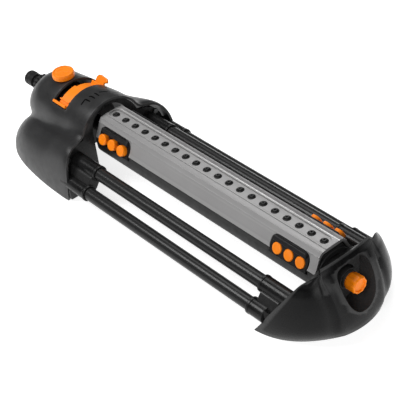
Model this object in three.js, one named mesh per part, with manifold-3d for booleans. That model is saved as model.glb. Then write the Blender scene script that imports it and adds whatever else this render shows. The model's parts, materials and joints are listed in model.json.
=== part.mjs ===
// Oscillating lawn sprinkler: motor housing, swinging spray bar, four support tubes and a foot.
// Units are millimetres, +Z is up, +X runs from the hose end to the foot end.
import * as THREE from 'three';
import { mergeVertices } from 'three/addons/utils/BufferGeometryUtils.js';
import Module from 'manifold-3d';

const wasm = await Module();
wasm.setup();

// ---- driving dimensions ----
const GAP = 0.3;
const AXIS_Z = 42;
const NOZZLES = 20;
const NOZZLE_PITCH = 15;
const NOZZLE_X0 = -87.5;
const BAR_X0 = -95.5;
const BAR_X1 = 207.5;
const FACE_RIDGE = [14.4, 26.3];
const FACE_FOOT = [22.8, 8.6];
const PLUG_PITCH = 14.1;
const PLUG_TRAVEL = 6;
const PLUG_R = 5.7;
const BLOCK_LEN = 46;
const BLOCK_X_MOTOR = -67;
const BLOCK_X_FOOT = 175.3;
const TUBE_R = 6.45;
const TUBE_INNER = [45.2, 32.9];
const TUBE_OUTER = [61.1, 18.5];
const SOCKET_R = 8;
const SOCKET_R_FOOT = 7.7;
const SOCKET_MOUTH_HOUSING = -64;
const SOCKET_MOUTH_FOOT = 167.5;
const PLATE_X = -104.5;
const KNOB_X = -172.5;
const KNOB_R = 11;
const KNOB_TOP = 83;
const NIPPLE_Z = 47.2;
const NIPPLE_R = 7.8;
const NIPPLE_TIP = -242.2;
const RING_X0 = -152;
const RING_X1 = -137;
const RING_R = 33.6;
const WALL = 2.4;
const SCREW_H = [55.5, 37.5];
const SCREW_F = [30, 30];

// ---- colours ----
const SATIN_GREY = [0x4a4a4b, 0.55, 0];
const CHARCOAL = [0x3c3c3d, 0.35, 0];
const BLACK = [0x1b1b1c, 0.5, 0];
const ORANGE = [0xff8212, 0.38, 0];
const SILVER = [0xbdbdbd, 0.35, 0.7];
const RUBBER = [0x161616, 0.85, 0];
const STEEL = [0x9a9a98, 0.3, 1];
const NYLON = [0xd9d6c8, 0.55, 0];

const group = new THREE.Group();

// ---- solid helpers ----
function signedVolume(position, index) {
  let sum = 0;
  const a = new THREE.Vector3();
  const b = new THREE.Vector3();
  const c = new THREE.Vector3();
  for (let i = 0; i < index.length; i += 3) {
    a.fromBufferAttribute(position, index[i]);
    b.fromBufferAttribute(position, index[i + 1]);
    c.fromBufferAttribute(position, index[i + 2]);
    sum += a.dot(b.cross(c));
  }
  return sum / 6;
}

function solid(geometry) {
  const plain = geometry.clone();
  plain.deleteAttribute('normal');
  plain.deleteAttribute('uv');
  const welded = mergeVertices(plain, 1e-4);
  const index = Uint32Array.from(welded.index.array);
  if (signedVolume(welded.attributes.position, index) < 0) {
    for (let i = 0; i < index.length; i += 3) {
      const keep = index[i];
      index[i] = index[i + 1];
      index[i + 1] = keep;
    }
  }
  const mesh = new wasm.Mesh({
    numProp: 3,
    vertProperties: Float32Array.from(welded.attributes.position.array),
    triVerts: index,
  });
  return new wasm.Manifold(mesh);
}

function union(list) {
  return list.reduce((sum, item) => sum.add(item));
}

function cut(body, tools) {
  return tools.reduce((rest, tool) => rest.subtract(tool), body);
}

function place(name, body, [color, roughness, metalness]) {
  const out = body.getMesh();
  const geometry = new THREE.BufferGeometry();
  const count = out.vertProperties.length / out.numProp;
  const xyz = new Float32Array(count * 3);
  for (let i = 0; i < count; i += 1) {
    xyz[3 * i] = out.vertProperties[i * out.numProp];
    xyz[3 * i + 1] = out.vertProperties[i * out.numProp + 1];
    xyz[3 * i + 2] = out.vertProperties[i * out.numProp + 2];
  }
  geometry.setAttribute('position', new THREE.BufferAttribute(xyz, 3));
  geometry.setIndex(new THREE.BufferAttribute(Uint32Array.from(out.triVerts), 1));
  geometry.computeVertexNormals();
  const material = new THREE.MeshStandardMaterial({ color, roughness, metalness });
  const mesh = new THREE.Mesh(geometry, material);
  mesh.name = name;
  group.add(mesh);
}

function shapeOf(points) {
  return new THREE.Shape(points.map(([u, v]) => new THREE.Vector2(u, v)));
}

// A flat outline given as (y, z) pairs, swept along X.
function sweepX(points, x0, x1) {
  const geometry = new THREE.ExtrudeGeometry(shapeOf(points), { depth: x1 - x0, bevelEnabled: false });
  const turn = new THREE.Matrix4();
  turn.makeBasis(new THREE.Vector3(0, 1, 0), new THREE.Vector3(0, 0, 1), new THREE.Vector3(1, 0, 0));
  geometry.applyMatrix4(turn);
  geometry.translate(x0, 0, 0);
  return solid(geometry);
}

// A flat outline given as (x, y) pairs, raised along Z.
function sweepZ(points, z0, z1) {
  const geometry = new THREE.ExtrudeGeometry(shapeOf(points), { depth: z1 - z0, bevelEnabled: false });
  geometry.translate(0, 0, z0);
  return solid(geometry);
}

function box(x0, x1, y0, y1, z0, z1) {
  return sweepZ([[x0, y0], [x1, y0], [x1, y1], [x0, y1]], z0, z1);
}

// A turned body about an axis through (0, y, z) parallel to X; outline is (x, radius).
function turnedX(outline, y, z, sides = 24) {
  const points = outline.map(([x, r]) => new THREE.Vector2(r, x));
  const geometry = new THREE.LatheGeometry(points, sides);
  geometry.rotateZ(-Math.PI / 2);
  geometry.translate(0, y, z);
  return solid(geometry);
}

// A turned body about a vertical axis through (x, y); outline is (z, radius).
function turnedZ(outline, x, y, sides = 24) {
  const points = outline.map(([z, r]) => new THREE.Vector2(r, z));
  const geometry = new THREE.LatheGeometry(points, sides);
  geometry.rotateX(Math.PI / 2);
  geometry.translate(x, y, 0);
  return solid(geometry);
}

function rodX(radius, x0, x1, y, z, sides = 24) {
  return turnedX([[x0, 0], [x0, radius], [x1, radius], [x1, 0]], y, z, sides);
}

function pipeX(outer, inner, x0, x1, y, z, sides = 24) {
  return turnedX([[x0, inner], [x0, outer], [x1, outer], [x1, inner], [x0, inner]], y, z, sides);
}

// A body through closed outlines that mirror across y = 0 and share one point count.
function loft(rings) {
  const count = rings[0].length;
  const xyz = rings.flat(2);
  const index = [];
  for (let s = 0; s + 1 < rings.length; s += 1) {
    for (let i = 0; i < count; i += 1) {
      const j = (i + 1) % count;
      const a = s * count + i;
      const b = s * count + j;
      index.push(a, b, b + count, a, b + count, a + count);
    }
  }
  const top = (rings.length - 1) * count;
  for (let i = 0, k = count - 1; i + 1 <= k - 1; i += 1, k -= 1) {
    index.push(i, k, i + 1, top + i, top + i + 1, top + k);
    if (i + 1 < k - 1) {
      index.push(i + 1, k, k - 1, top + i + 1, top + k - 1, top + k);
    }
  }
  const geometry = new THREE.BufferGeometry();
  geometry.setAttribute('position', new THREE.BufferAttribute(Float32Array.from(xyz), 3));
  geometry.setIndex(index);
  return solid(geometry);
}

function mirrored(half) {
  const other = half.map(([y, z]) => [-y, z]).reverse();
  return half.concat(other);
}

// ---- housing: hood over the motor with two fender wings ----
// Columns: station x, wing half width, crease height, wing squareness, hood radius, hood centre height.
const HOUSING_STATIONS = [
  [-223, 30, 6, 1, 12, 12],
  [-219, 40, 16, 1, 19, 23],
  [-212, 50, 25, 1, 24, 34],
  [-202, 56.5, 31, 1, 29.4, 39.5],
  [-190, 60.8, 35, 1, 32.4, 41.5],
  [-176, 64.2, 38.5, 1, 33.9, 42],
  [-158, 66.9, 42.5, 1, 35.6, 42],
  [-137, 69, 46.4, 0.95, 36, 42],
  [-120, 69.8, 50, 0.85, 37.6, 42],
  [-101, 70, 53, 0.72, 38.2, 42],
  [-92.5, 69.6, 53, 0.68, 38.2, 42],
];

function housingSection([x, width, height, square, radius, centre], inset) {
  const half = [];
  const crease = radius + 0.6;
  for (let i = 0; i <= 6; i += 1) {
    const angle = (Math.PI / 2) * (i / 6.3);
    const y = crease + (width - crease) * Math.cos(angle) ** square;
    const z = height * Math.sin(angle) ** (0.45 + 0.55 * square);
    const down = inset * Math.sin(angle);
    const inwards = inset * (1 + 0.25 * Math.sin(2 * angle));
    half.push([y - Math.min(inwards, Math.max(y - crease, 0) + inset), Math.max(z - down, 0)]);
  }
  const r = radius - inset;
  const start = Math.asin(THREE.MathUtils.clamp((height + 1 - centre) / radius, -0.9, 0.9));
  for (let i = 0; i <= 6; i += 1) {
    const angle = start + (Math.PI / 2 - start) * (i / 7);
    half.push([r * Math.cos(angle), centre + r * Math.sin(angle)]);
  }
  const ring = mirrored(half);
  return ring.map(([y, z]) => [x, y, inset > 0 && z < 0.01 ? z - 4 : z]);
}

// The room under the housing, extended forwards past its mouth, for trimming inner pieces.
function housingRoom() {
  const rings = HOUSING_STATIONS.slice(3).map((row) => housingSection(row, WALL + 2.5 * GAP));
  const last = rings.length - 1;
  rings[last] = rings[last].map(([, y, z]) => [-92.1, y, z]);
  const ahead = box(-92.2, 0, -90, 90, 0, 100);
  return loft(rings).add(ahead);
}

function housingShell() {
  const outer = loft(HOUSING_STATIONS.map((row) => housingSection(row, 0)));
  const inside = HOUSING_STATIONS.map((row) => housingSection(row, WALL));
  inside[0] = inside[0].map(([, y, z]) => [-219.5, y, z]);
  inside[1] = inside[1].map(([, y, z]) => [-216.5, y, z]);
  const last = inside.length - 1;
  inside[last] = inside[last].map(([, y, z]) => [-90, y, z]);
  let body = outer.subtract(loft(inside));
  const arch = box(-99.5, -80, -37.6, 37.6, 40, 95);
  const slot = sweepX(sector(80, -48.5, 50), -158.5, -136.2);
  const keepIn = rodX(27, -159, -136, 0, AXIS_Z, 24);
  body = cut(body, [arch, slot.subtract(keepIn)]);
  for (const side of [-1, 1]) {
    const boss = rodX(4, -124, PLATE_X - GAP, side * SCREW_H[0], SCREW_H[1], 12);
    const rib = box(-124, PLATE_X - GAP, side * SCREW_H[0] - 1, side * SCREW_H[0] + 1, SCREW_H[1], 70);
    body = body.add(boss.add(rib).intersect(outer));
    body = body.subtract(rodX(2, -122.5, -100, side * SCREW_H[0], SCREW_H[1], 10));
  }
  const nippleHole = rodX(12.4, -230, -203, 0, NIPPLE_Z, 24);
  const stemHole = turnedZ([[60, 0], [60, 4.2], [95, 4.2], [95, 0]], KNOB_X, 0, 16);
  body = cut(body, [nippleHole, stemHole]);
  return body;
}

// Fan outline about the swing axis; angles in degrees from straight up towards +Y.
function sector(radius, from, to) {
  const points = [[0, AXIS_Z]];
  const steps = 12;
  for (let i = 0; i <= steps; i += 1) {
    const a = THREE.MathUtils.degToRad(from + ((to - from) * i) / steps);
    points.push([radius * Math.sin(a), AXIS_Z + radius * Math.cos(a)]);
  }
  return points;
}

function arcBand(outer, inner, from, to, x0, x1, steps = 12) {
  const points = [];
  for (let i = 0; i <= steps; i += 1) {
    const a = THREE.MathUtils.degToRad(from + ((to - from) * i) / steps);
    points.push([outer * Math.sin(a), AXIS_Z + outer * Math.cos(a)]);
  }
  for (let i = steps; i >= 0; i -= 1) {
    const a = THREE.MathUtils.degToRad(from + ((to - from) * i) / steps);
    points.push([inner * Math.sin(a), AXIS_Z + inner * Math.cos(a)]);
  }
  return sweepX(points, x0, x1);
}

place('housing_shell', housingShell(), SATIN_GREY);

// ---- tube bracket inside the housing: ring around the bar neck and four sockets ----
const TUBE_PLACES = {
  support_tube_inner_left: [-TUBE_INNER[0], TUBE_INNER[1]],
  support_tube_inner_right: [TUBE_INNER[0], TUBE_INNER[1]],
  support_tube_outer_left: [-TUBE_OUTER[0], TUBE_OUTER[1]],
  support_tube_outer_right: [TUBE_OUTER[0], TUBE_OUTER[1]],
};

function socketFloor(y) {
  return Math.abs(y) > 50 ? -92 : PLATE_X + 4;
}

function housingBracket() {
  const outline = [[21, 8], [62.5, 8], [65.5, 20], [61, 33], [54, 42], [44, 47.5], [34.2, 49.5]];
  for (let i = 0; i <= 7; i += 1) {
    const angle = (12 + 78 * (i / 8)) * (Math.PI / 180);
    outline.push([34.6 * Math.cos(angle), AXIS_Z + 34.6 * Math.sin(angle)]);
  }
  const plate = sweepX(mirrored(outline), PLATE_X, PLATE_X + 3);
  const hole = rodX(21.6, PLATE_X - 1, PLATE_X + 4, 0, AXIS_Z + 10, 32);
  const under = box(PLATE_X - 1, PLATE_X + 4, -21.5, 21.5, 0, AXIS_Z + 10);
  let body = cut(plate, [hole, under]);
  for (const side of [-1, 1]) {
    body = body.add(box(PLATE_X, -86, side * 61 - 1.2, side * 61 + 1.2, 22, 30));
    body = body.add(rodX(SOCKET_R, PLATE_X, SOCKET_MOUTH_HOUSING, side * TUBE_INNER[0], TUBE_INNER[1], 16));
    body = body.add(rodX(SOCKET_R, PLATE_X, SOCKET_MOUTH_HOUSING, side * TUBE_OUTER[0], TUBE_OUTER[1], 16));
  }
  body = body.intersect(housingRoom());
  for (const [y, z] of Object.values(TUBE_PLACES)) {
    body = body.subtract(rodX(TUBE_R + GAP, socketFloor(y), SOCKET_MOUTH_HOUSING + 1, y, z, 16));
  }
  for (const side of [-1, 1]) {
    body = body.subtract(rodX(2, PLATE_X - 1, PLATE_X + 4, side * SCREW_H[0], SCREW_H[1], 10));
  }
  return body;
}

place('housing_tube_bracket', housingBracket(), CHARCOAL);

// ---- support tubes ----
for (const [name, [y, z]] of Object.entries(TUBE_PLACES)) {
  const end = Math.abs(y) > 50 ? 183 : 199;
  place(name, pipeX(TUBE_R, TUBE_R - 1.2, socketFloor(y) + 0.4, end, y, z, 16), BLACK);
}

// ---- foot: a leaning face with a pocket, and two swept wings ----
// Columns: height, wing edge x and y, crease x and y, face centre x.
const FOOT_LEVELS = [
  [0, 176.3, 68.8, 238, 18.5, 242.2],
  [12, 184.8, 67.2, 237.4, 20.8, 242.2],
  [24, 192.2, 64.4, 235.8, 23, 241.4],
  [34, 198.6, 60.8, 233.8, 24.8, 240.1],
  [43, 204.4, 56.8, 231.3, 26, 238.2],
  [50, 208.6, 53, 228.8, 27, 235.4],
  [55, 211.6, 49.6, 226.6, 27.6, 232.4],
  [59, 214.6, 45.6, 224.8, 28, 229.7],
  [62, 218, 39.5, 223.6, 28.2, 227.3],
  [65, 222, 29.5, 223, 28.4, 225],
  [68.4, 221.6, 28.8, 222, 28.3, 222.6],
];

function footEdgeCurve(level, inset) {
  const [height, ex, ey, vx, vy, fx] = level;
  const points = [];
  const chordX = vx - ex;
  const chordY = vy - ey;
  const length = Math.hypot(chordX, chordY);
  const bulge = 0.155 * length;
  const fender = 0.14 * length * Math.sin(Math.PI * Math.min(height / 60, 1));
  for (let i = 0; i <= 7; i += 1) {
    const t = i / 7;
    const rise = 4 * t * (1 - t) * (bulge * (1 - 0.25 * t) + fender * (0.5 + t));
    points.push([ex + chordX * t - (chordY / length) * rise, ey + chordY * t + (chordX / length) * rise]);
  }
  for (let i = 1; i <= 4; i += 1) {
    const t = i / 4;
    points.push([vx + (fx - vx) * (1 - (1 - t) ** 2), vy * (1 - t)]);
  }
  return inset > 0 ? insetCurve(points, inset) : points;
}

function insetCurve(points, inset) {
  return points.map(([x, y], i) => {
    const a = points[Math.max(i - 1, 0)];
    const b = points[Math.min(i + 1, points.length - 1)];
    const dx = b[0] - a[0];
    const dy = i === points.length - 1 ? -1 : b[1] - a[1];
    const length = Math.hypot(i === points.length - 1 ? 0 : dx, dy) || 1;
    const nx = (i === points.length - 1 ? -1 : dy / length);
    const ny = (i === points.length - 1 ? 0 : -dx / length);
    return [x + nx * inset, Math.max(y + ny * inset, i === points.length - 1 ? 0 : 0.5)];
  });
}

function wholeCurve(points) {
  const far = points.slice(0, -1).map(([x, y]) => [x, -y]).reverse();
  return points.concat(far);
}

// A curved sheet with thickness: matching rows of outer and inner points.
function sheet(outerRows, innerRows) {
  const rows = outerRows.length;
  const count = outerRows[0].length;
  const xyz = outerRows.concat(innerRows).flat(2);
  const index = [];
  const at = (side, row, i) => (side * rows + row) * count + i;
  const quad = (a, b, c, d) => index.push(a, b, c, a, c, d);
  for (let row = 0; row + 1 < rows; row += 1) {
    for (let i = 0; i + 1 < count; i += 1) {
      quad(at(0, row, i), at(0, row, i + 1), at(0, row + 1, i + 1), at(0, row + 1, i));
      quad(at(1, row, i), at(1, row + 1, i), at(1, row + 1, i + 1), at(1, row, i + 1));
    }
    quad(at(0, row, 0), at(0, row + 1, 0), at(1, row + 1, 0), at(1, row, 0));
    const e = count - 1;
    quad(at(0, row, e), at(1, row, e), at(1, row + 1, e), at(0, row + 1, e));
  }
  for (let i = 0; i + 1 < count; i += 1) {
    const top = rows - 1;
    quad(at(0, 0, i), at(1, 0, i), at(1, 0, i + 1), at(0, 0, i + 1));
    quad(at(0, top, i), at(0, top, i + 1), at(1, top, i + 1), at(1, top, i));
  }
  const geometry = new THREE.BufferGeometry();
  geometry.setAttribute('position', new THREE.BufferAttribute(Float32Array.from(xyz), 3));
  geometry.setIndex(index);
  return solid(geometry);
}

function footSkin() {
  const row = (level, inset) => wholeCurve(footEdgeCurve(level, inset)).map(([x, y]) => [x, y, level[0]]);
  const outer = FOOT_LEVELS.map((level) => row(level, 0));
  const inner = FOOT_LEVELS.map((level) => row(level, WALL));
  return sheet(outer, inner);
}

function footFilled() {
  const rings = FOOT_LEVELS.map((level) => {
    return wholeCurve(footEdgeCurve(level, 0.2)).map(([x, y]) => [x, y, level[0]]);
  });
  return loft(rings);
}

// Shield outline of the pocket opening, grown outwards by the given amount.
function pocketOutline(grow) {
  const lower = [[0, 18], [5, 18.7], [11, 23.5], [15.5, 31], [18.2, 42]];
  const upper = [[18.6, 51], [17.5, 57], [14, 61.2], [7, 62.6]];
  const corners = lower.concat(upper);
  const middle = 43;
  const half = corners.map(([y, z]) => {
    const length = Math.hypot(y, z - middle);
    return [y + (grow * y) / length, z + (grow * (z - middle)) / length];
  });
  const first = half[0];
  return [first].concat(half.slice(1), half.slice(1).map(([y, z]) => [-y, z]).reverse());
}

function footShell() {
  const cup = sweepX(pocketOutline(2), 217, 250).intersect(footFilled());
  const hollow = sweepX(pocketOutline(0), 219.5, 252);
  const bearing = rodX(11.4, 214, 224, 0, AXIS_Z, 24);
  let body = footSkin().add(cup);
  for (const side of [-1, 1]) {
    const boss = rodX(4, 212.8, 245, side * SCREW_F[0], SCREW_F[1], 12).intersect(footFilled());
    body = body.add(boss).subtract(rodX(2, 205, 222.5, side * SCREW_F[0], SCREW_F[1], 10));
  }
  return cut(body, [hollow, bearing]);
}

place('foot_shell', footShell(), CHARCOAL);

// ---- bracket inside the foot: bearing plate, webs and four sockets ----
function footBracket() {
  const beam = [[38, 22], [46, 25], [48, 33], [42, 44], [26, 54], [6, 58]];
  let body = sweepX(mirrored(beam), 209, 212.4);
  for (const side of [-1, 1]) {
    const webY = side * 53.3;
    const web = box(173, 187, webY - 4, webY + 4, 20, 32);
    const innerY = side * TUBE_INNER[0];
    const outerY = side * TUBE_OUTER[0];
    body = body.add(web);
    body = body.add(rodX(SOCKET_R_FOOT, SOCKET_MOUTH_FOOT, 209, innerY, TUBE_INNER[1], 16));
    body = body.add(rodX(SOCKET_R_FOOT, SOCKET_MOUTH_FOOT, 186.5, outerY, TUBE_OUTER[1], 16));
    body = body.subtract(rodX(TUBE_R + GAP, SOCKET_MOUTH_FOOT - 1, 199.3, innerY, TUBE_INNER[1], 16));
    body = body.subtract(rodX(TUBE_R + GAP, SOCKET_MOUTH_FOOT - 1, 183.4, outerY, TUBE_OUTER[1], 16));
  }
  body = body.subtract(rodX(10.3, 205, 215, 0, AXIS_Z, 24));
  for (const side of [-1, 1]) {
    body = body.subtract(rodX(2, 205, 215, side * SCREW_F[0], SCREW_F[1], 10));
  }
  const space = footSpace();
  return body.intersect(space);
}

// The room inside the foot wings, extended towards the bar for trimming.
function footSpace() {
  const rings = FOOT_LEVELS.slice(0, -1).map((level) => {
    const curve = footEdgeCurve(level, WALL + 2.5 * GAP);
    const out = [[150, curve[0][1] + 8], [curve[0][0], curve[0][1]]].concat(curve.slice(1));
    return wholeCurve(out).map(([x, y]) => [x, y, level[0] - 0.01]);
  });
  return loft(rings);
}

place('foot_tube_bracket', footBracket(), CHARCOAL);

// ---- spray bar: silver cover, black trough, water channel, rubber nozzle strip ----
const COVER_HALF = [[22.8, 8.6], [14.4, 26.3], [12.6, 27], [7.5, 27.7]];
const TROUGH_HALF = [[12.8, -17], [18.2, -11.4], [22.5, -5], [22.9, 8.2]];

function raised(points) {
  return points.map(([y, z]) => [y, z + AXIS_Z]);
}

function insetHalf(half, inset) {
  return half.map(([y, z]) => {
    const length = Math.hypot(y, z);
    return [y - (inset * 1.25 * y) / length, z - (inset * 1.25 * z) / length];
  });
}

// Face frame: u runs down the sloping face from the ridge, n points straight out of it.
const FACE_LENGTH = Math.hypot(FACE_FOOT[0] - FACE_RIDGE[0], FACE_FOOT[1] - FACE_RIDGE[1]);
const FACE_D = [(FACE_FOOT[0] - FACE_RIDGE[0]) / FACE_LENGTH, (FACE_FOOT[1] - FACE_RIDGE[1]) / FACE_LENGTH];
const FACE_N = [-FACE_D[1], FACE_D[0]];

function facePoint(side, u, n) {
  const y = FACE_RIDGE[0] + u * FACE_D[0] + n * FACE_N[0];
  const z = FACE_RIDGE[1] + u * FACE_D[1] + n * FACE_N[1];
  return [side * y, z + AXIS_Z];
}

// A block let into the face, its two upper corners rounded; grow widens it into a clearance tool.
function blockBody(side, x, grow) {
  const u0 = 4.9 - grow;
  const u1 = 23.8 + grow;
  const end = BLOCK_LEN / 2 + grow;
  const corner = 8.5;
  const points = [[x + end, u1], [x - end, u1]];
  for (const way of [-1, 1]) {
    for (let i = 0; i <= 3; i += 1) {
      const a = (Math.PI / 6) * (way < 0 ? i : 3 - i);
      points.push([x + way * (end - corner + corner * Math.cos(a)), u0 + corner - corner * Math.sin(a)]);
    }
  }
  const depth = grow > 0 ? 12 + grow : 6.4;
  const geometry = new THREE.ExtrudeGeometry(shapeOf(points), { depth, bevelEnabled: false });
  const across = new THREE.Vector3(1, 0, 0);
  const down = new THREE.Vector3(0, side * FACE_D[0], FACE_D[1]);
  const out = new THREE.Vector3(0, side * FACE_N[0], FACE_N[1]);
  geometry.applyMatrix4(new THREE.Matrix4().makeBasis(across, down, out));
  const [y, z] = facePoint(side, 0, -6 - grow);
  geometry.translate(0, y, z);
  return solid(geometry);
}

// A turned body whose axis stands out of the sloping face; outline is (n, radius).
function turnedFace(outline, side, x, u, sides = 10) {
  const points = outline.map(([n, r]) => new THREE.Vector2(r, n));
  const geometry = new THREE.LatheGeometry(points, sides);
  const direction = new THREE.Vector3(0, side * FACE_N[0], FACE_N[1]);
  const turn = new THREE.Quaternion().setFromUnitVectors(new THREE.Vector3(0, 1, 0), direction);
  geometry.applyQuaternion(turn);
  const [y, z] = facePoint(side, u, 0);
  geometry.translate(x, y, z);
  return solid(geometry);
}

const PLUG_U = 16.6;
const BLOCKS = [
  { name: 'motor_left', side: -1, x: BLOCK_X_MOTOR, out: 3.5 },
  { name: 'motor_right', side: 1, x: BLOCK_X_MOTOR, out: 0 },
  { name: 'foot_left', side: -1, x: BLOCK_X_FOOT, out: 0 },
  { name: 'foot_right', side: 1, x: BLOCK_X_FOOT, out: PLUG_TRAVEL },
];

function nozzleX(i) {
  return NOZZLE_X0 + i * NOZZLE_PITCH;
}

function stadium(x0, x1, halfWidth, steps = 5) {
  const points = [];
  for (let i = 0; i <= steps; i += 1) {
    const a = -Math.PI / 2 + (Math.PI * i) / steps;
    points.push([x1 - halfWidth + halfWidth * Math.cos(a), halfWidth * Math.sin(a)]);
  }
  for (let i = 0; i <= steps; i += 1) {
    const a = Math.PI / 2 + (Math.PI * i) / steps;
    points.push([x0 + halfWidth + halfWidth * Math.cos(a), halfWidth * Math.sin(a)]);
  }
  return points;
}

function barCover() {
  const outside = sweepX(raised(mirrored(COVER_HALF)), BAR_X0, BAR_X1);
  const inner = insetHalf(COVER_HALF, 1.6).map(([y, z]) => [y, Math.min(z, 24.6)]);
  inner[0] = [20.9, 7.6];
  const inside = sweepX(raised(mirrored(inner)), BAR_X0 - 1, BAR_X1 + 1);
  const oval = stadium(NOZZLE_X0 - 6.6, nozzleX(NOZZLES - 1) + 5.5, 6.4);
  const channel = sweepZ(oval, AXIS_Z + 26.4, AXIS_Z + 30);
  let body = cut(outside, [inside, channel]);
  for (let i = 0; i < NOZZLES; i += 1) {
    body = body.subtract(turnedZ([[60, 0], [60, 3.5], [75, 3.5], [75, 0]], nozzleX(i), 0, 8));
  }
  return cut(body, BLOCKS.map((block) => blockBody(block.side, block.x, GAP)));
}

place('bar_cover', barCover(), SILVER);

function barTrough() {
  const outside = sweepX(raised(mirrored(TROUGH_HALF)), BAR_X0 - 0.5, BAR_X1 - 1.7);
  const inner = [[11.6, -14.8], [16.4, -10.1], [20.2, -4.3], [20.6, 9]];
  const inside = sweepX(raised(mirrored(inner)), BAR_X0 - 3, BAR_X1 + 3);
  return cut(outside, [inside].concat(BLOCKS.map((block) => blockBody(block.side, block.x, GAP))));
}

place('bar_trough', barTrough(), BLACK);

function waterChannel() {
  const outside = box(-90, 202, -8, 8, AXIS_Z - 8, AXIS_Z + 21.6);
  const inside = box(-87, 199, -6, 6, AXIS_Z - 6, AXIS_Z + 19.8);
  const feed = box(-92, 202, -1.6, 1.6, AXIS_Z + 19, AXIS_Z + 22).intersect(box(-86, 198, -2, 2, 0, 90));
  const neck = rodX(7.6, -141, -89, 0, AXIS_Z, 20);
  const neckBore = rodX(5.4, -142, -86, 0, AXIS_Z, 20);
  const end = rodX(9.9, 201, 224, 0, AXIS_Z, 24);
  const endBore = rodX(8, 198, 225, 0, AXIS_Z, 24);
  return outside.add(neck).add(end).subtract(inside).subtract(feed).subtract(neckBore).subtract(endBore);
}

place('water_channel', waterChannel(), BLACK);

function nozzleStrip() {
  let body = sweepZ(stadium(NOZZLE_X0 - 6, nozzleX(NOZZLES - 1) + 6, 5), AXIS_Z + 21.9, AXIS_Z + 24.2);
  for (let i = 0; i < NOZZLES; i += 1) {
    const tip = [[22, 0.8], [22, 3.1], [27, 3.1], [27.8, 2.4], [27.8, 0.8], [22, 0.8]];
    const post = turnedZ(tip.map(([z, r]) => [z + AXIS_Z, r]), nozzleX(i), 0, 6);
    const hole = turnedZ([[60, 0], [60, 0.8], [75, 0.8], [75, 0]], nozzleX(i), 0, 6);
    body = body.add(post).subtract(hole);
  }
  return body;
}

place('nozzle_strip', nozzleStrip(), RUBBER);

// End plates close the bar between cover and trough.
function barEnd(x0, x1, holeRadius) {
  const half = [[11.3, -14.4], [16, -9.8], [19.8, -4.1], [20.3, 7.4], [12.3, 21.4]];
  const plate = sweepX(raised(mirrored(half)), x0, x1);
  return plate.subtract(rodX(holeRadius, x0 - 1, x1 + 1, 0, AXIS_Z, 24));
}

place('bar_end_plate_motor', barEnd(-94.5, -91, 7.9), BLACK);
const footPlate = barEnd(202.4, 206.3, 10.2).add(pipeX(20.2, 16.5, 206.2, 208.4, 0, AXIS_Z, 28))
  .add(pipeX(14, 10.2, 204, 206.3, 0, AXIS_Z, 28)).add(pipeX(17, 13, 206.2, 207, 0, AXIS_Z, 28));
place('bar_end_plate_foot', footPlate, BLACK);

for (const { name, side, x } of BLOCKS) {
  let body = blockBody(side, x, 0);
  for (const k of [-1, 0, 1]) {
    const bore = [[-8, 0], [-8, PLUG_R + GAP], [3, PLUG_R + GAP], [3, 0]];
    body = body.subtract(turnedFace(bore, side, x + k * PLUG_PITCH, PLUG_U, 14));
  }
  place(`shutoff_block_${name}`, body, BLACK);
}

for (const { name, side, x, out } of BLOCKS) {
  [-1, 0, 1].forEach((k, i) => {
    const head = [[-12, 0], [-12, 1.4], [-8, 1.4], [-8, PLUG_R], [0.3, PLUG_R], [1, PLUG_R - 0.9], [1, 0]];
    const shifted = head.map(([n, r]) => [n + out, r]);
    const plug = turnedFace(shifted, side, x + k * PLUG_PITCH, PLUG_U, 12);
    place(`shutoff_plug_${name}_${i + 1}`, plug, ORANGE);
  });
}

// ---- end plug that closes the bar at the foot ----
const plugOutline = [[208, 0], [208, 7.6], [227.5, 7.6], [227.5, 9], [236.9, 9], [238.4, 7.5], [238.4, 0]];
place('end_plug', turnedX(plugOutline, 0, AXIS_Z, 12), ORANGE);
place('end_plug_seal', pipeX(8.8, 7.95, 224.6, 226.6, 0, AXIS_Z, 20), RUBBER);

// ---- water motor: case, turbine, reduction gear and the gear that swings the bar ----
const MOTOR_X0 = -193;
const MOTOR_X1 = -128;
const REDUCTION_Z = AXIS_Z - 11.3;
const PINION_Z = AXIS_Z - 15.5;

function motorCase() {
  const outside = rodX(25, MOTOR_X0, MOTOR_X1, 0, AXIS_Z, 28);
  const rear = rodX(22.5, MOTOR_X0 + 3, -152, 0, AXIS_Z, 28);
  const front = rodX(22.5, -149, MOTOR_X1 - 3, 0, AXIS_Z, 28);
  const neckHole = rodX(9.2, MOTOR_X1 - 5, MOTOR_X1 + 1, 0, AXIS_Z, 20);
  const inlet = rodX(7.5, MOTOR_X0 - 5, MOTOR_X0 + 5, 0, NIPPLE_Z, 20);
  const passage = rodX(4, -153, -148, 12, AXIS_Z, 12);
  const lowBearing = rodX(1.6, -153, -148, 0, PINION_Z, 12);
  const boss = turnedZ([[60, 0], [60, 7], [70, 7], [70, 0]], KNOB_X, 0, 16);
  const valve = turnedZ([[55, 0], [55, 4.3], [75, 4.3], [75, 0]], KNOB_X, 0, 16);
  return cut(outside.add(boss), [rear, front, neckHole, inlet, passage, lowBearing, valve]);
}

place('motor_case', motorCase(), BLACK);

// A spur gear on an axis parallel to X; phase is in tooth pitches.
function gear(teeth, root, tip, x0, x1, z, phase) {
  const outline = [];
  const pitch = (2 * Math.PI) / teeth;
  for (let i = 0; i < teeth; i += 1) {
    for (const [f, r] of [[-0.32, root], [-0.2, root], [-0.1, tip], [0.1, tip], [0.2, root]]) {
      const a = (i + f + phase) * pitch;
      outline.push([r * Math.sin(a), z + r * Math.cos(a)]);
    }
  }
  return sweepX(outline.reverse(), x0, x1);
}

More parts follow.
